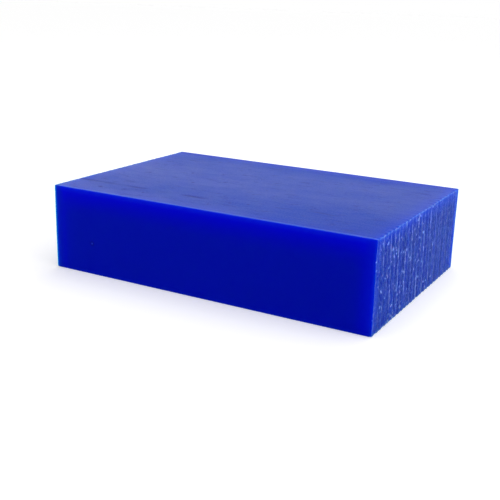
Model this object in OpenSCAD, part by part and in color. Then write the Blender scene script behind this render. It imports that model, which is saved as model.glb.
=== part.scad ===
// Block of hard carving wax, one solid piece with no moving parts.
// The wax is moulded as a long bar of rectangular section, then sawn across to length,
// so the four long faces are smooth and the two ends carry the saw's ridges.
// +X runs along the bar, +Y to the back, +Z up; the origin is the middle of the underside.

/* [Block] */
// Length between the ridge tops of the two sawn ends
block_length = 140; // [60:1:280]
// Width of the moulded bar, front to back
block_width = 93; // [40:1:150]
// Height of the moulded bar
block_height = 35; // [15:1:80]

/* [Moulded edges] */
// Radius along the four long edges, left by the mould
edge_radius = 0.5; // [0.3:0.1:4]

/* [Sawn ends] */
// Spacing of the upright ridges, fitted to a whole number across the width
ridge_pitch = 3.5; // [2:0.1:8]
// Width of the narrow flat along the top of each ridge
crest_width = 0.3; // [0.1:0.05:0.8]
// Depth of the hollows between the ridges
ridge_depth = 0.3; // [0.1:0.05:0.6]

/* [Hidden] */
wax_blue = [0.03, 0.09, 0.66];
ridge_count = round(block_width / ridge_pitch);
fitted_pitch = block_width / ridge_count;
hollow_width = fitted_pitch - crest_width;
// Radius of a round hollow that is hollow_width across and ridge_depth deep
hollow_radius = (pow(hollow_width / 2, 2) + pow(ridge_depth, 2)) / (2 * ridge_depth);
// How far the hollows run past the top and bottom faces
overrun = 1;
$fn = 96;

// Cross-section of the mould: a rectangle with round corners, standing on the X axis
module mould_section() {
    flat_width = block_width - 2 * edge_radius;
    flat_height = block_height - 2 * edge_radius;
    translate([-flat_width / 2, 0]) square([flat_width, block_height]);
    translate([-block_width / 2, edge_radius]) square([block_width, flat_height]);
    for (side = [-1, 1], level = [edge_radius, block_height - edge_radius])
        translate([side * flat_width / 2, level]) circle(r = edge_radius);
}

// The moulded bar at its sawn length, along X
module moulded_bar() {
    translate([-block_length / 2, 0, 0])
        rotate([90, 0, 90])
            linear_extrude(height = block_length) mould_section();
}

// The hollows that the saw blade leaves across the +X end, blade upright and bar fed along Y
module saw_hollows() {
    hollow_x = block_length / 2 - ridge_depth + hollow_radius;
    for (i = [0 : ridge_count - 1])
        translate([hollow_x, (i + 0.5) * fitted_pitch - block_width / 2, -overrun])
            cylinder(r = hollow_radius, h = block_height + 2 * overrun);
}

module wax_block() {
    color(wax_blue)
        difference() {
            moulded_bar();
            saw_hollows();
            mirror([1, 0, 0]) saw_hollows();
        }
}

wax_block();
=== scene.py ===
import math
import random

import bmesh
import bpy
from mathutils import Matrix, Vector, noise


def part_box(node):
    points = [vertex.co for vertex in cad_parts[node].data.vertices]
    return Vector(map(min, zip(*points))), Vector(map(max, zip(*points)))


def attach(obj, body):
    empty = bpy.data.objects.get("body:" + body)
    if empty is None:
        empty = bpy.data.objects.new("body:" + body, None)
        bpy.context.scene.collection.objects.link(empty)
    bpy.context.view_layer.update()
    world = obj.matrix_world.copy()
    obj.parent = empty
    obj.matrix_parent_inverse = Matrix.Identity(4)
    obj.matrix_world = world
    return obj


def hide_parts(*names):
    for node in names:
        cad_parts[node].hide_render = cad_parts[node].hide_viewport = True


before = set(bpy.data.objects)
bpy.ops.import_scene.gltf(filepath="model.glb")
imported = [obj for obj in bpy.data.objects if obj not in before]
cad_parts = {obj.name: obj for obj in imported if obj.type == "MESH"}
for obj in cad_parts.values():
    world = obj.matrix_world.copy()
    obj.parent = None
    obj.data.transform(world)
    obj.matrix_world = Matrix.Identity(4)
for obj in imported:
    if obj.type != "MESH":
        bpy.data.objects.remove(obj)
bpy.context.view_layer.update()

# ---------------------------------------------------------------- the block's shape
# The wax block: one lump of hard carving wax. It is poured into a long metal mould, so
# its four long faces are smooth with a small round along each edge, and it is cut to
# length across the bar on a band saw, which leaves upright ridges on both ends.
MM = 0.001
block_low, block_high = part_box("wax_block")
half_length, half_width, half_height = (block_high - block_low) / 2 / MM
block_middle = (block_high + block_low) / 2

# Mesh spacing in mm: close together at the edges, then even
edge_steps = (0.0, 0.06, 0.15, 0.28, 0.5, 0.8, 1.2)
length_step = 3.5
width_step = 0.42
height_step = 0.45


def graded(half, step):
    """Places along one axis from -half to half, closest together near both ends."""
    outer = [half - inset for inset in edge_steps]
    inner = outer[-1]
    count = round(2 * inner / step)
    between = [inner - 2 * inner * i / count for i in range(1, count)]
    return sorted([-place for place in outer] + between + outer)


places = [
    graded(half_length, length_step),
    graded(half_width, width_step),
    graded(half_height, height_step),
]


def fade(value, start, stop):
    """Goes smoothly from 0 at start to 1 at stop."""
    share = min(1.0, max(0.0, (value - start) / (stop - start)))
    return share * share * (3 - 2 * share)


def bump(value, middle, reach):
    """A smooth hump that is 1 at its middle and has all but gone two reaches away."""
    return math.exp(-((value - middle) / reach) ** 2)


def rough(seed, *scaled):
    """Smooth noise from -1 to 1 at a point; each seed gives another pattern."""
    return noise.noise(Vector((*scaled, seed)))


# The mould's round along the four long edges
mould_radius = 0.5


def rounded(across, up):
    """A point of the rectangular section moved onto the section with round corners."""
    over_across = max(0.0, abs(across) - (half_width - mould_radius))
    over_up = max(0.0, abs(up) - (half_height - mould_radius))
    if over_across == 0.0 or over_up == 0.0:
        return across, up
    share = max(over_across, over_up) / math.hypot(over_across, over_up)
    return (
        math.copysign(half_width - mould_radius + over_across * share, across),
        math.copysign(half_height - mould_radius + over_up * share, up),
    )


# The saw blade runs upright and a little out of true, so its ridges lean, stray and weave.
# Every second hollow is deeper, and each is steep just behind its ridge.
ridge_pitch = 3.6
ridge_lean = math.tan(math.radians(5))
ridge_start = 0.6
ridge_stray = 0.9
ridge_weave = 0.25
hollow_depths = (0.28, 0.11)
hollow_strength, strength_spread = 0.7, 0.6
hollow_bow, clean_bow_loss = 1.3, 0.5
steep_width = 0.7
# Slow swells and fine scratches lie over the ridges: their depth, and how many there are
# to the mm across and up the end
swell_depth, swells_across, swells_up = 0.07, 0.09, 0.03
scratch_depth, scratches_across, scratches_up = 0.02, 1.3, 0.1
# The cut gets cleaner towards the back, where the blade comes out of the wax
clean_from, clean_to = 6.0, 24.0
# The cut is hazed over a little in its middle, and again where it is clean
hazy, hazy_middle, hazy_reach = 0.015, 2.0, 28.0
clean_haze = 0.045
# Crests are torn, most of all in the middle of the cut, and every second one more so
crest_half_widths = (0.7, 0.55)
crest_least_fray, crest_clean_loss = 0.1, 0.8
torn_ranges = ((-0.25, 0.45), (0.0, 0.6))
torn_shares = (1.0, 0.55)
torn_least, torn_middle, torn_reach = 0.4, -3.0, 24.0
# The left end was cut with a fresher blade, so all its marks are shallower
cut_roughness = {1: 1.0, -1: 0.5}
# Wax is brittle, so the teeth tear small pieces out of the cut: sizes and depths in mm
tear_count = 270
tear_seeds = {1: 3, -1: 8}
tear_half_lengths = (0.25, 1.0)
tear_extra_length = 0.2
tear_slimness = (0.3, 0.6)
tear_least_half_width = 0.25
tear_tilt = math.radians(-30)
tear_tilt_shares = (-0.3, 2.0)
tear_depths = (0.06, 0.22)
tear_paleness = (0.4, 1.25)
tear_raggedness, tear_grain = 0.6, 1.7


def scatter_tears(seed):
    """Torn spots on one end: place, half length and width, tilt as cosine and sine, depth, paleness."""
    draw = random.Random(seed)
    tears = []
    for _ in range(tear_count):
        across = draw.uniform(-half_width, half_width)
        up = draw.uniform(-half_height, half_height)
        half_long = draw.uniform(*tear_half_lengths) ** 2 / tear_half_lengths[1] + tear_extra_length
        tilt = tear_tilt * draw.uniform(*tear_tilt_shares)
        depth = draw.uniform(*tear_depths)
        if draw.random() > fade(across, clean_from, clean_to):
            half_wide = max(tear_least_half_width, half_long * draw.uniform(*tear_slimness))
            paleness = draw.uniform(*tear_paleness)
            cosine, sine = math.cos(tilt), math.sin(tilt)
            tears.append((across, up, half_long, half_wide, cosine, sine, depth, paleness))
    return tears


tears_by_end = {end: scatter_tears(seed) for end, seed in tear_seeds.items()}


def ridge_place(number, up, end):
    """Where a ridge lies across the end at some height; each one strays and weaves a little."""
    stray = ridge_stray * rough(15 * end, number * 2.3, 0.5)
    weave = ridge_weave * rough(9 * end, number * 0.7, 0.09 * up)
    return ridge_start - half_width + number * ridge_pitch + stray + weave - ridge_lean * up


def sawn(across, up, end):
    """How deep the sawn surface lies below the ridge tops, in mm, and how frayed it is, 0 to 1."""
    number = math.floor((across + half_width - ridge_start + ridge_lean * up) / ridge_pitch)
    if across < ridge_place(number, up, end):
        number -= 1
    elif across >= ridge_place(number + 1, up, end):
        number += 1
    past = across - ridge_place(number, up, end)
    before = ridge_place(number + 1, up, end) - across
    clean = fade(across, clean_from, clean_to)
    strength = hollow_strength + strength_spread * rough(4.1 * end, number * 1.37, 0.06 * up)
    steep = fade(past, 0.0, steep_width + clean)
    bow = (before / (past + before)) ** (hollow_bow - clean_bow_loss * clean)
    depth = hollow_depths[number % 2] * strength * steep * bow
    depth += swell_depth * (1 + rough(5 * end, swells_across * across, swells_up * up))
    depth += scratch_depth * (1 + rough(3 * end, scratches_across * across, scratches_up * up))
    crest_number = number if past < before else number + 1
    kind = crest_number % 2
    crest = max(0.0, 1 - min(past, before) / crest_half_widths[kind])
    broken = rough(11 * end, crest_number * 7.3, 0.12 * up)
    broken += 0.35 * rough(13 * end, crest_number * 3.1, 0.6 * up)
    torn = torn_shares[kind] * fade(broken, *torn_ranges[kind])
    torn *= torn_least + (1 - torn_least) * bump(across, torn_middle, torn_reach)
    frayed = crest * (crest_least_fray + (1 - crest_least_fray) * torn) * (1 - crest_clean_loss * clean)
    frayed += hazy * bump(across, hazy_middle, hazy_reach) + clean_haze * clean
    for tear_across, tear_up, half_long, half_wide, cosine, sine, tear_depth, pale in tears_by_end[end]:
        off_across, off_up = across - tear_across, up - tear_up
        if abs(off_across) < half_long and abs(off_up) < half_long:
            near = math.hypot((off_across * cosine + off_up * sine) / half_long,
                              (off_up * cosine - off_across * sine) / half_wide)
            near *= 1 + tear_raggedness * rough(6 * end, tear_grain * across, tear_grain * up)
            if near < 1:
                depth += tear_depth * (1 - near * near)
                frayed = max(frayed, pale * (1 - near ** 3))
    return depth * cut_roughness[end], min(1.0, frayed)


# The arris of each end is chipped back a little, more between the ridges than on them.
# The upright arrises are chipped and frayed less than the level ones.
chip_depth = 0.4
chip_least = 0.3
chip_reach = 1.2
side_chip_share = 0.5
arris_fray, arris_fray_spread = 0.18, 0.25
upright_fray_share = 0.25


def chipped(across, up, end, inset):
    """A point near an end moved in from the arris, and how frayed the arris is there."""
    edge_across = half_width - abs(across)
    edge_up = half_height - abs(up)
    from_arris = max(inset, min(edge_across, edge_up))
    if from_arris > chip_reach:
        return across, up, 0.0
    run = across + half_width - ridge_start + ridge_lean * up
    tooth = math.sin(math.pi * run / ridge_pitch) ** 2 * cut_roughness[end]
    ragged = 0.5 + 0.5 * rough(17 * end, 0.9 * across, 0.9 * up)
    ease = (1 - inset / chip_reach) * cut_roughness[end]
    level_chip = chip_depth * (chip_least + tooth) * ragged * ease * max(0.0, 1 - edge_up / chip_reach)
    side_chip = side_chip_share * chip_depth * ragged * ease * max(0.0, 1 - edge_across / chip_reach)
    new_up = up - math.copysign(level_chip, up)
    new_across = across - math.copysign(side_chip, across)
    frayed = (1 - from_arris / chip_reach) * (arris_fray + arris_fray_spread * (1 - tooth) * ragged)
    if edge_across < edge_up:
        frayed *= upright_fray_share
    return new_across, new_up, frayed


# The poured wax shrinks as it cools, so the top and bottom sink a little in the middle,
# and all four long faces wave slightly
sink_depth = 0.15
wave_depth = 0.03
# A shallow flow line wanders along the left half of the top near its front: sizes in mm
flow_line_across = -31.0
flow_line_half_width = 1.7
flow_line_depth = 0.06
flow_line_wander = 1.6
flow_line_fade = 12.0


def flow_line(along, across):
    """1 in the middle of the flow line and 0 beside it; the line fades out along the bar."""
    wander = flow_line_wander * rough(21, along / 16, 0.0)
    broken = fade(rough(23, along / 9, across / 6), -0.35, 0.25)
    hollow = max(0.0, 1 - ((across - flow_line_across - wander) / flow_line_half_width) ** 2)
    return hollow * broken * fade(-along, -flow_line_fade, flow_line_fade)


def sunk(along, across, side):
    """How far the top (side 1) or bottom (side -1) lies below the mould's flat, in mm."""
    dish = sink_depth * (1 - (along / half_length) ** 2) * (1 - (across / half_width) ** 2)
    wave = wave_depth * (1 + rough(2.0 * side, along / 45, across / 5))
    return dish + wave + flow_line_depth * flow_line(along, across) * (side > 0)


def pulled_in(along, up, side):
    """How far the front (side -1) or back (side 1) lies inside the mould's flat, in mm."""
    return wave_depth * (1 + rough(20.0 + side, along / 50, up / 6))


# How far in from an end face the mesh eases back to its true place
end_ease = 8.0


def worn(along, across, up):
    """A point of the plain block, in mm from its middle, moved to where the real surface lies."""
    end = 1 if along > 0 else -1
    inset = half_length - abs(along)
    frayed = 0.0
    if inset < end_ease:
        depth, frayed = sawn(across, up, end)
        along -= end * depth * (1 - inset / end_ease) ** 2
        if inset > 0:
            frayed = 0.0
    if inset < chip_reach:
        across, up, chip_frayed = chipped(across, up, end, inset)
        frayed = max(frayed, chip_frayed)
    across, up = rounded(across, up)
    side = 1 if up > 0 else -1
    new_up = up - side * sunk(along, across, side) * (up / half_height) ** 2
    side = 1 if across > 0 else -1
    new_across = across - side * pulled_in(along, up, side) * (across / half_width) ** 2
    return Vector((along, new_across, new_up)), frayed


# A pale bloom lies on the top, and a painted sheen goes with it. Both are thickest in a
# wide patch at the left, and thick along the left half of the front edge and at the left
# front corner. The bloom is wiped thin, and the sheen painted thin, at the right front and
# in a strip along the back edge, most of all right of the middle.
usual_bloom_and_sheen = 0.45
patch_bloom_and_sheen = 0.35
front_less_bloom_and_sheen = 0.45
back_less_bloom_and_sheen = 0.35
front_edge_bloom_and_sheen = 0.3
left_edge_bloom_and_sheen = 0.3
bloom_and_sheen_blotches = 0.2


def bloom_and_sheen_at(along, across):
    """How thick the pale bloom and its painted sheen on the wax are, 0 to 1: handling and wiping leave
    the bloom uneven, and the sheen is painted uneven with it.
    """
    bloom_and_sheen = usual_bloom_and_sheen + patch_bloom_and_sheen * bump(along, -45, 60) * bump(across, 5, 24)
    bloom_and_sheen -= front_less_bloom_and_sheen * fade(along, -10, 55) * fade(-across, 0, 32)
    bloom_and_sheen -= back_less_bloom_and_sheen * bump(across, half_width - 6, 6) * (0.6 + 0.8 * bump(along, 30, 22))
    bloom_and_sheen += front_edge_bloom_and_sheen * bump(across, -half_width + 5, 5) * fade(-along, -30, 20)
    bloom_and_sheen += left_edge_bloom_and_sheen * bump(along, -half_length, 26) * fade(-across, -25, 15)
    bloom_and_sheen += bloom_and_sheen_blotches * (rough(31, along / 20, across / 14) + rough(33, along / 9, across / 7))
    return min(1.0, max(0.0, bloom_and_sheen))


# The glow along the edges is painted into the colour by this distance from an edge. Light
# gets in at a free edge from two sides, and less of it gets in through a sawn end, so
# distances from an end count for more. None gets in along the underside.
end_glow_share = 1.6
# Painted shade darkens the skin beside an end, over these distances in mm, and more so
# at the left end, (left, right)
end_from, end_to = 4.0, 0.3
end_shades = (1.0, 0.43)
block_mesh = bpy.data.meshes.new("carving_wax_block")
shell = bmesh.new()
frayed_layer = shell.verts.layers.float.new("frayed")
shade_layer = shell.verts.layers.float.new("end_shade")
flow_layer = shell.verts.layers.float.new("flow_line")
edge_layer = shell.verts.layers.float.new("edge_distance")
bloom_and_sheen_layer = shell.verts.layers.float.new("bloom_and_sheen")
corner_of = {}
last = [len(line) - 1 for line in places]


def corner(index):
    """The vertex at one place of the block's surface grid, made on first use."""
    if index not in corner_of:
        along, across, up = (places[axis][index[axis]] for axis in range(3))
        point, frayed = worn(along, across, up)
        from_end = half_length - abs(along)
        insets = sorted((end_glow_share * from_end, half_width - abs(across), half_height - up))
        made = shell.verts.new(block_middle + point * MM)
        made[frayed_layer] = frayed
        made[edge_layer] = insets[1]
        made[bloom_and_sheen_layer] = bloom_and_sheen_at(along, across)
        made[shade_layer] = end_shades[along > 0] * fade(from_end, end_from, end_to)
        made[flow_layer] = flow_line(along, across) if up > 0 else 0.0
        corner_of[index] = made
    return corner_of[index]


for axis in range(3):
    first, second = (axis + 1) % 3, (axis + 2) % 3
    for level in (0, last[axis]):
        for i in range(last[first]):
            for j in range(last[second]):
                ring = []
                for di, dj in ((0, 0), (1, 0), (1, 1), (0, 1)):
                    index = [0, 0, 0]
                    index[axis], index[first], index[second] = level, i + di, j + dj
                    ring.append(corner(tuple(index)))
                if level == 0:
                    ring.reverse()
                face = shell.faces.new(ring)
                face.smooth = True
                face.material_index = 1 if axis == 0 else 0
shell.to_mesh(block_mesh)
shell.free()
block = bpy.data.objects.new("carving_wax_block", block_mesh)
bpy.context.scene.collection.objects.link(block)


def linear(hex_colour):
    """An sRGB hex colour as linear RGBA."""
    channels = [int(hex_colour[i:i + 2], 16) / 255 for i in (0, 2, 4)]
    return (*[c / 12.92 if c <= 0.04045 else ((c + 0.055) / 1.055) ** 2.4 for c in channels], 1.0)


def add(tree, kind, inputs=None, **settings):
    """Adds a node with its settings, and gives each named or numbered input a value or a link."""
    made = tree.nodes.new(kind)
    for name, value in settings.items():
        setattr(made, name, value)
    for name, value in (inputs or {}).items():
        if isinstance(value, bpy.types.NodeSocket):
            tree.links.new(value, made.inputs[name])
        else:
            made.inputs[name].default_value = value
    return made


# ---------------------------------------------------------------- its moulded skin
# Hard carving wax, moulded: a filled paraffin and polyethylene wax. Light goes some
# millimetres in, so the blue is deep on the flats, and a glow along the edges is also
# painted into the colour. Fine dust and bloom lie on whatever faces up; the paler satin
# top is partly them and partly a painted sheen on upward faces.
deep_blue = linear("0012A1")
# glow_blue and edge_glow_blue paint the glow along the edges into the colour
glow_blue = linear("0002AF")
edge_glow_blue = linear("021CAC")
# end_shade_blue is painted shade for the skin beside the sawn ends
end_shade_blue = linear("02267C")
# dust_and_sheen_blue: upward faces are paler, partly from fine dust and partly as a painted sheen
dust_and_sheen_blue = linear("0A3AA4")
# bloom_and_sheen_blue is pale bloom together with a painted sheen
bloom_and_sheen_blue = linear("5260AE")
# scuff_and_dim_sheen_blue: scuffs and the flow line are darker, partly as real marks and partly as a
# painted dimmer sheen in their hollows
scuff_and_dim_sheen_blue = linear("182C84")
# rim_highlight_blue is a painted highlight along the top's front edge, partly rubbed wear
rim_highlight_blue = linear("5A70D0")
# far_shade_blue is painted shade along the top's back edge
far_shade_blue = linear("0C2678")
# pit_shade_blue is painted shade in the pits, and speck_highlight_blue a painted highlight
pit_shade_blue = linear("0A147C")
speck_highlight_blue = linear("2C3EBC")
# How light goes through the wax, for all of it: red is taken up first and blue last
wax_body = {
    "IOR": 1.44,
    "Subsurface Weight": 1.0,
    "Subsurface Radius": (0.3, 0.6, 1.0),
    "Subsurface Scale": 30 * MM,
    "Subsurface Anisotropy": 0.8,
}
# Over these distances from an edge, in mm, the colour goes from one to the next, which paints the glow
# along the edges
glow_from, glow_to = 12.0, 2.5
edge_from, edge_to = 2.6, 0.5
# How much of a face the fine dust and its painted sheen cover, and how far up it has to face
dust_and_sheen_cover = 0.85
dust_and_sheen_from, dust_and_sheen_to = 0.5, 0.95
# The top's front edge is rubbed pale and has a painted highlight, and its back edge is painted shade:
# distances in mm, strengths
rim_from, rim_to, rim_highlight_strength = 1.7, 0.3, 0.6
far_from, far_to, far_shade_strength = 5.5, 0.5, 0.8
# Sizes across the bar in mm. Streaks and scuffs are this many times longer along it, from
# the pour and from wiping. The real grain is finer than this, and wouldn't show.
streak_width, streak_stretch = 5.0, 3.03
scuff_width, scuff_stretch, scuff_tilt = 2.38, 3.125, math.radians(3)
grain_size = 0.625
streak_relief, grain_relief = 0.12, 0.04

skin = bpy.data.materials.new("moulded_carving_wax")
skin.use_nodes = True
tree = skin.node_tree
tree.nodes.clear()
place = add(tree, "ShaderNodeTexCoord").outputs["Object"]
in_mm = add(tree, "ShaderNodeMapping", {
    "Vector": place, "Scale": (1 / MM, 1 / MM, 1 / MM)}).outputs["Vector"]
across = add(tree, "ShaderNodeSeparateXYZ", {0: in_mm}).outputs["Y"]
streak_map = add(tree, "ShaderNodeMapping", {
    "Vector": place, "Scale": (1 / MM / streak_stretch, 1 / MM, 1 / MM)}).outputs["Vector"]
streak = add(tree, "ShaderNodeTexNoise", {
    "Vector": streak_map, "Scale": 1 / streak_width,
    "Detail": 5.0, "Roughness": 0.62, "Distortion": 0.5}).outputs["Fac"]
scuff_map = add(tree, "ShaderNodeMapping", {
    "Vector": place, "Scale": (1 / MM / scuff_stretch, 1 / MM, 1 / MM),
    "Rotation": (0, 0, scuff_tilt)}).outputs["Vector"]
scuff = add(tree, "ShaderNodeTexNoise", {
    "Vector": scuff_map, "Scale": 1 / scuff_width,
    "Detail": 4.0, "Roughness": 0.6, "Distortion": 0.9}).outputs["Fac"]
grain = add(tree, "ShaderNodeTexNoise", {
    "Vector": in_mm, "Scale": 1 / grain_size, "Detail": 3.0, "Roughness": 0.6}).outputs["Fac"]

# The wax's colour, from its depths to a painted glow at its edges, and to painted shade on the skin
# beside the sawn ends
from_edge = add(tree, "ShaderNodeAttribute", attribute_name="edge_distance").outputs["Fac"]
near_glow = add(tree, "ShaderNodeMapRange", {
    "Value": from_edge, "From Min": glow_from, "From Max": glow_to},
    interpolation_type="SMOOTHSTEP").outputs[0]
near_edge_glow = add(tree, "ShaderNodeMapRange", {
    "Value": from_edge, "From Min": edge_from, "From Max": edge_to},
    interpolation_type="SMOOTHSTEP").outputs[0]
end_shade = add(tree, "ShaderNodeAttribute", attribute_name="end_shade").outputs["Fac"]
glowing = add(tree, "ShaderNodeMix", {
    "Factor": near_glow, 6: deep_blue, 7: glow_blue}, data_type="RGBA").outputs[2]
edge_glowing = add(tree, "ShaderNodeMix", {
    "Factor": near_edge_glow, 6: glowing, 7: edge_glow_blue}, data_type="RGBA").outputs[2]
wax_with_glow_and_shade = add(tree, "ShaderNodeMix", {
    "Factor": end_shade, 6: edge_glowing, 7: end_shade_blue}, data_type="RGBA").outputs[2]

# The dust and bloom, with a painted sheen, with streaks, with scuffs and the flow line, and with a
# painted highlight along the front edge and painted shade along the back edge
bloom_and_sheen = add(tree, "ShaderNodeAttribute", attribute_name="bloom_and_sheen").outputs["Fac"]
streaky = add(tree, "ShaderNodeMapRange", {
    "Value": streak, "From Min": 0.3, "From Max": 0.7, "To Min": 0.5, "To Max": 0.84}).outputs[0]
streaky_bloom_and_sheen = add(tree, "ShaderNodeMath", {0: bloom_and_sheen, 1: streaky}, operation="MULTIPLY").outputs[0]
bloomed_dust_and_sheen = add(tree, "ShaderNodeMix", {
    "Factor": streaky_bloom_and_sheen, 6: dust_and_sheen_blue, 7: bloom_and_sheen_blue}, data_type="RGBA").outputs[2]
# Scuffs and the flow line darken the top, partly a painted dimmer sheen
scuffed = add(tree, "ShaderNodeMapRange", {
    "Value": scuff, "From Min": 0.56, "From Max": 0.72, "To Max": 0.9}).outputs[0]
flowed = add(tree, "ShaderNodeAttribute", attribute_name="flow_line").outputs["Fac"]
marked_and_dimmed = add(tree, "ShaderNodeMath", {0: scuffed, 1: flowed}, operation="MAXIMUM").outputs[0]
scuffed_dust_and_sheen = add(tree, "ShaderNodeMix", {
    "Factor": marked_and_dimmed, 6: bloomed_dust_and_sheen, 7: scuff_and_dim_sheen_blue}, data_type="RGBA").outputs[2]
# A painted highlight, partly rubbed wear, along the top's front edge
near_rim_highlight = add(tree, "ShaderNodeMapRange", {
    "Value": across, "From Min": rim_from - half_width, "From Max": rim_to - half_width,
    "To Max": rim_highlight_strength}, interpolation_type="SMOOTHSTEP").outputs[0]
rim_highlighted_dust_and_sheen = add(tree, "ShaderNodeMix", {
    "Factor": near_rim_highlight, 6: scuffed_dust_and_sheen, 7: rim_highlight_blue}, data_type="RGBA").outputs[2]
# Painted shade along the top's back edge
near_back_shade = add(tree, "ShaderNodeMapRange", {
    "Value": across, "From Min": half_width - far_from, "From Max": half_width - far_to,
    "To Max": far_shade_strength}, interpolation_type="SMOOTHSTEP").outputs[0]
dust_sheen_and_painted_edges = add(tree, "ShaderNodeMix", {
    "Factor": near_back_shade, 6: rim_highlighted_dust_and_sheen, 7: far_shade_blue}, data_type="RGBA").outputs[2]
# Faces that look up take the dust colour, which also paints their sheen
facing = add(tree, "ShaderNodeNewGeometry").outputs["True Normal"]
upward = add(tree, "ShaderNodeSeparateXYZ", {0: facing}).outputs["Z"]
dust_and_sheen = add(tree, "ShaderNodeMapRange", {
    "Value": upward, "From Min": dust_and_sheen_from, "From Max": dust_and_sheen_to, "To Max": dust_and_sheen_cover}).outputs[0]
dusted_and_sheened = add(tree, "ShaderNodeMix", {
    "Factor": dust_and_sheen, 6: wax_with_glow_and_shade, 7: dust_sheen_and_painted_edges}, data_type="RGBA").outputs[2]

# Air bubbles that met the mould left a few pits, painted only in the colour: place and
# radius in mm. Their dark is painted shade, and the pale middle of the one on the front
# is a painted highlight.
top_level = 2 * half_height
front_bubble = (-51.2, -half_width, 13.1)
pits = (
    (-53.1, -38, top_level, 1.3),
    (-33, -36.5, top_level, 0.8),
    (-27, -9.5, top_level, 1.0),
    (-37, 5.5, top_level, 0.8),
    (4, -31.5, top_level, 0.9),
    (11, -29.5, top_level, 0.8),
    (*front_bubble, 1.4),
)
pit_floor_share = 0.3
speck_radius, speck_core = 0.55, 0.25
pit_shaded = 0.0
for *pit, pit_radius in pits:
    away = add(tree, "ShaderNodeVectorMath", {0: in_mm, 1: pit}, operation="DISTANCE").outputs["Value"]
    pit_shade_mask = add(tree, "ShaderNodeMapRange", {
        "Value": away, "From Min": pit_radius, "From Max": pit_floor_share * pit_radius}).outputs[0]
    pit_shaded = add(tree, "ShaderNodeMath", {0: pit_shaded, 1: pit_shade_mask}, operation="MAXIMUM").outputs[0]
pit_shade_colour = add(tree, "ShaderNodeMix", {
    "Factor": pit_shaded, 6: dusted_and_sheened, 7: pit_shade_blue}, data_type="RGBA").outputs[2]
from_speck = add(tree, "ShaderNodeVectorMath", {
    0: in_mm, 1: front_bubble}, operation="DISTANCE").outputs["Value"]
speck_highlighted = add(tree, "ShaderNodeMapRange", {
    "Value": from_speck, "From Min": speck_radius, "From Max": speck_core}).outputs[0]
skin_colour = add(tree, "ShaderNodeMix", {
    "Factor": speck_highlighted, 6: pit_shade_colour, 7: speck_highlight_blue}, data_type="RGBA").outputs[2]

satin = add(tree, "ShaderNodeMapRange", {
    "Value": grain, "From Min": 0.3, "From Max": 0.7, "To Min": 0.36, "To Max": 0.5}).outputs[0]
streak_bump = add(tree, "ShaderNodeBump", {
    "Height": streak, "Strength": 1.0, "Distance": streak_relief * MM}).outputs["Normal"]
grain_bump = add(tree, "ShaderNodeBump", {
    "Height": grain, "Strength": 1.0, "Distance": grain_relief * MM,
    "Normal": streak_bump}).outputs["Normal"]
surface = add(tree, "ShaderNodeBsdfPrincipled", {
    **wax_body,
    "Base Color": skin_colour,
    "Roughness": satin,
    "Specular IOR Level": 0.068,
    "Normal": grain_bump,
}, subsurface_method="RANDOM_WALK")
add(tree, "ShaderNodeOutputMaterial", {"Surface": surface.outputs["BSDF"]})

# ---------------------------------------------------------------- its sawn ends
# Hard carving wax, sawn: the same wax, torn and scraped by the saw's teeth. The broken
# crests and flecks scatter light, so they look frosted and paler than the hollows, and
# their frost colour also paints glints on them. The blade leaves fine scrapes, and soft
# upright bands of painted light, as light comes through the ridges.
scraped_blue = linear("08237C")
# light_band_blue paints soft upright bands of light coming through the ridges
light_band_blue = linear("0A2792")
# sawn_edge_glow_blue is a painted glow along the edges of the cut
sawn_edge_glow_blue = linear("0A2C9C")
# sawn_far_shade_blue is painted shade at the back of each sawn end
sawn_far_shade_blue = linear("061A68")
# frost_and_glint_blue is frosted wax together with painted glints on crests and flecks
frost_and_glint_blue = linear("95B0FF")
# Sizes across the cut in mm. Scrapes and bands are this many times longer along the blade,
# which leans by the same angle as the ridges. The teeth's real scrapes are finer, and
# wouldn't show.
scrape_width, scrape_stretch = 1.111, 9.09
band_width, band_stretch = 3.333, 25.0
fleck_size = 1.333
blade_lean = math.radians(5)
scrape_relief, fleck_relief = 0.3, 0.3
# The most that flecks and scrapes haze the cut by themselves
fleck_haze, scrape_haze = 0.12, 0.06
# Distances in mm over which a painted glow brightens the colour at the edges and painted shade darkens
# it at the back
sawn_glow_from, sawn_glow_to = 7.0, 0.5
sawn_far_from, sawn_far_to, sawn_far_shade_strength = 2.7, 0.3, 0.8

sawn_end = bpy.data.materials.new("sawn_carving_wax")
sawn_end.use_nodes = True
tree = sawn_end.node_tree
tree.nodes.clear()
place = add(tree, "ShaderNodeTexCoord").outputs["Object"]
in_mm = add(tree, "ShaderNodeMapping", {
    "Vector": place, "Scale": (1 / MM, 1 / MM, 1 / MM)}).outputs["Vector"]
across = add(tree, "ShaderNodeSeparateXYZ", {0: in_mm}).outputs["Y"]
scrape_map = add(tree, "ShaderNodeMapping", {
    "Vector": place, "Scale": (1 / MM, 1 / MM, 1 / MM / scrape_stretch),
    "Rotation": (blade_lean, 0, 0)}).outputs["Vector"]
scrape = add(tree, "ShaderNodeTexNoise", {
    "Vector": scrape_map, "Scale": 1 / scrape_width, "Detail": 4.0, "Roughness": 0.65}).outputs["Fac"]
band_map = add(tree, "ShaderNodeMapping", {
    "Vector": place, "Scale": (1 / MM, 1 / MM, 1 / MM / band_stretch),
    "Rotation": (blade_lean, 0, 0)}).outputs["Vector"]
band = add(tree, "ShaderNodeTexNoise", {
    "Vector": band_map, "Scale": 1 / band_width, "Detail": 2.0, "Roughness": 0.5}).outputs["Fac"]
fleck = add(tree, "ShaderNodeTexNoise", {
    "Vector": in_mm, "Scale": 1 / fleck_size, "Detail": 5.0, "Roughness": 0.7}).outputs["Fac"]

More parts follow.
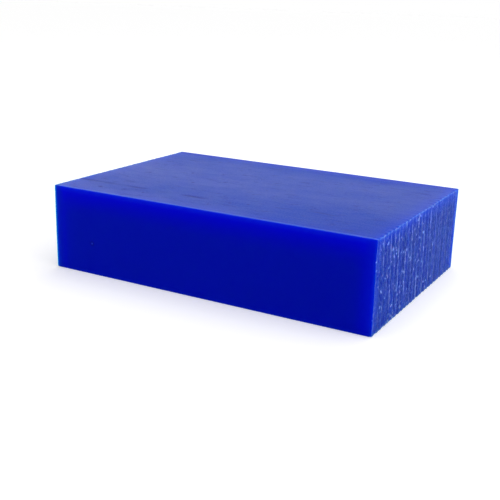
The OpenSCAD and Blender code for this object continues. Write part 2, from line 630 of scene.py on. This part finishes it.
# Soft upright bands of painted light, as from light through the ridges
light_banded = add(tree, "ShaderNodeMapRange", {
    "Value": band, "From Min": 0.35, "From Max": 0.65}).outputs[0]
light_banding = add(tree, "ShaderNodeMix", {
    "Factor": light_banded, 6: scraped_blue, 7: light_band_blue}, data_type="RGBA").outputs[2]
from_edge = add(tree, "ShaderNodeAttribute", attribute_name="edge_distance").outputs["Fac"]
near_edge_glow = add(tree, "ShaderNodeMapRange", {
    "Value": from_edge, "From Min": sawn_glow_from, "From Max": sawn_glow_to},
    interpolation_type="SMOOTHSTEP").outputs[0]
edge_glowed = add(tree, "ShaderNodeMix", {
    "Factor": near_edge_glow, 6: light_banding, 7: sawn_edge_glow_blue}, data_type="RGBA").outputs[2]

# Frayed wax is frosted in clumps, over a slight haze of flecks and scrapes; the frost colour also
# paints glints
frayed = add(tree, "ShaderNodeAttribute", attribute_name="frayed").outputs["Fac"]
clumps = add(tree, "ShaderNodeMapRange", {
    "Value": fleck, "From Min": 0.4, "From Max": 0.62, "To Min": 0.22, "To Max": 0.82}).outputs[0]
flecks = add(tree, "ShaderNodeMapRange", {
    "Value": fleck, "From Min": 0.45, "From Max": 0.75, "To Max": fleck_haze}).outputs[0]
scrapes = add(tree, "ShaderNodeMapRange", {
    "Value": scrape, "From Min": 0.4, "From Max": 0.75, "To Max": scrape_haze}).outputs[0]
haze = add(tree, "ShaderNodeMath", {0: flecks, 1: scrapes}, operation="ADD").outputs[0]
frost_and_glint = add(tree, "ShaderNodeMath", {
    0: frayed, 1: clumps, 2: haze}, operation="MULTIPLY_ADD", use_clamp=True).outputs[0]
frosted_and_glinting = add(tree, "ShaderNodeMix", {
    "Factor": frost_and_glint, 6: edge_glowed, 7: frost_and_glint_blue}, data_type="RGBA").outputs[2]
# Painted shade at the back of the cut
near_back_shade = add(tree, "ShaderNodeMapRange", {
    "Value": across, "From Min": half_width - sawn_far_from, "From Max": half_width - sawn_far_to,
    "To Max": sawn_far_shade_strength}, interpolation_type="SMOOTHSTEP").outputs[0]
sawn_colour = add(tree, "ShaderNodeMix", {
    "Factor": near_back_shade, 6: frosted_and_glinting, 7: sawn_far_shade_blue}, data_type="RGBA").outputs[2]

dull = add(tree, "ShaderNodeMapRange", {
    "Value": scrape, "From Min": 0.3, "From Max": 0.7, "To Min": 0.5, "To Max": 0.68}).outputs[0]
scrape_bump = add(tree, "ShaderNodeBump", {
    "Height": scrape, "Strength": 1.0, "Distance": scrape_relief * MM}).outputs["Normal"]
fleck_bump = add(tree, "ShaderNodeBump", {
    "Height": fleck, "Strength": 1.0, "Distance": fleck_relief * MM,
    "Normal": scrape_bump}).outputs["Normal"]
surface = add(tree, "ShaderNodeBsdfPrincipled", {
    **wax_body,
    "Base Color": sawn_colour,
    "Roughness": dull,
    "Specular IOR Level": 0.1,
    "Normal": fleck_bump,
}, subsurface_method="RANDOM_WALK")
add(tree, "ShaderNodeOutputMaterial", {"Surface": surface.outputs["BSDF"]})

block_mesh.materials.append(skin)
block_mesh.materials.append(sawn_end)
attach(block, "root")
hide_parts("wax_block")

# ---------------------------------------------------------------- the studio
# A wide sheet of white paper lies on the table. It glows a little, so that it burns out to
# plain white, and it is kept out of the wax's reflections, because it would pale the front.
floor_half = 5.0
paper_glow = 0.22
floor_mesh = bpy.data.meshes.new("paper_floor")
paper = bmesh.new()
bmesh.ops.create_grid(paper, x_segments=1, y_segments=1, size=floor_half)
paper.to_mesh(floor_mesh)
paper.free()
floor = bpy.data.objects.new("paper_floor", floor_mesh)
bpy.context.scene.collection.objects.link(floor)
floor.visible_glossy = False
matt_paper = bpy.data.materials.new("matt_white_paper")
matt_paper.use_nodes = True
paper_inputs = matt_paper.node_tree.nodes["Principled BSDF"].inputs
paper_inputs["Base Color"].default_value = linear("FAFAFA")
paper_inputs["Roughness"].default_value = 1.0
paper_inputs["Emission Color"].default_value = linear("FFFFFF")
paper_inputs["Emission Strength"].default_value = paper_glow
floor_mesh.materials.append(matt_paper)

# The room is white all round, dark below the floor, and dim high up on the left, so that
# most of the light comes from the right. The limits are parts of a unit direction.
below_dark, below_lit, below_brightness = -0.22, -0.1, 0.02
left_from, left_to = -0.2, -0.6
high_from, high_to = 0.2, 0.45
dim_brightness = 0.1
world = bpy.data.worlds.new("white_studio")
bpy.context.scene.world = world
world.use_nodes = True
sky = world.node_tree
sky.nodes.clear()
towards = add(sky, "ShaderNodeTexCoord").outputs["Generated"]
direction = add(sky, "ShaderNodeSeparateXYZ", {0: towards})
lit = add(sky, "ShaderNodeMapRange", {
    "Value": direction.outputs["Z"], "From Min": below_dark, "From Max": below_lit,
    "To Min": below_brightness, "To Max": 1.0}).outputs[0]
to_left = add(sky, "ShaderNodeMapRange", {
    "Value": direction.outputs["X"], "From Min": left_from, "From Max": left_to}).outputs[0]
to_top = add(sky, "ShaderNodeMapRange", {
    "Value": direction.outputs["Z"], "From Min": high_from, "From Max": high_to}).outputs[0]
shade = add(sky, "ShaderNodeMath", {0: to_left, 1: to_top}, operation="MULTIPLY").outputs[0]
unshaded = add(sky, "ShaderNodeMapRange", {
    "Value": shade, "To Min": 1.0, "To Max": dim_brightness}).outputs[0]
brightness = add(sky, "ShaderNodeMath", {0: lit, 1: unshaded}, operation="MULTIPLY").outputs[0]
backdrop = add(sky, "ShaderNodeBackground", {"Color": brightness, "Strength": 1.0})
add(sky, "ShaderNodeOutputWorld", {"Surface": backdrop.outputs[0]})


def softbox(name, towards_block, distance, size, power):
    """A square area light that faces the block: direction, distance and size in metres, watts."""
    light = bpy.data.lights.new(name, "AREA")
    light.shape = "SQUARE"
    light.size = size
    light.energy = power
    lamp = bpy.data.objects.new(name, light)
    bpy.context.scene.collection.objects.link(lamp)
    direction = Vector(towards_block).normalized()
    lamp.location = block_middle - direction * distance
    lamp.rotation_mode = "QUATERNION"
    lamp.rotation_quaternion = direction.to_track_quat("-Z", "Y")


softbox("softbox_above", (0.1, -0.15, -1.0), distance=0.9, size=0.8, power=1.5)
softbox("softbox_right", (-1.0, 0.1, -0.5), distance=0.9, size=0.6, power=1.2)

# The camera stands low at the front right of the block, turned slightly about its own axis
camera_azimuth = math.radians(29.044)
camera_elevation = math.radians(17.030)
camera_roll = math.radians(1.569)
camera_distance = 0.3585
camera_side, camera_rise = -0.00337, 0.00717
back = Vector((
    math.sin(camera_azimuth) * math.cos(camera_elevation),
    -math.cos(camera_azimuth) * math.cos(camera_elevation),
    math.sin(camera_elevation),
))
level_right = (-back).cross(Vector((0, 0, 1))).normalized()
level_up = level_right.cross(-back)
right = math.cos(camera_roll) * level_right + math.sin(camera_roll) * level_up
up = -math.sin(camera_roll) * level_right + math.cos(camera_roll) * level_up
lens = bpy.data.cameras.new("camera")
lens.sensor_width = 36.0
lens.lens = 60.60
lens.clip_start = 0.01
lens.clip_end = 20.0
camera = bpy.data.objects.new("camera", lens)
bpy.context.scene.collection.objects.link(camera)
camera.matrix_world = (
    Matrix.Translation(back * camera_distance + right * camera_side + up * camera_rise)
    @ Matrix((right, up, back)).transposed().to_4x4()
)
bpy.context.scene.camera = camera
bpy.context.scene.view_settings.view_transform = "Standard"
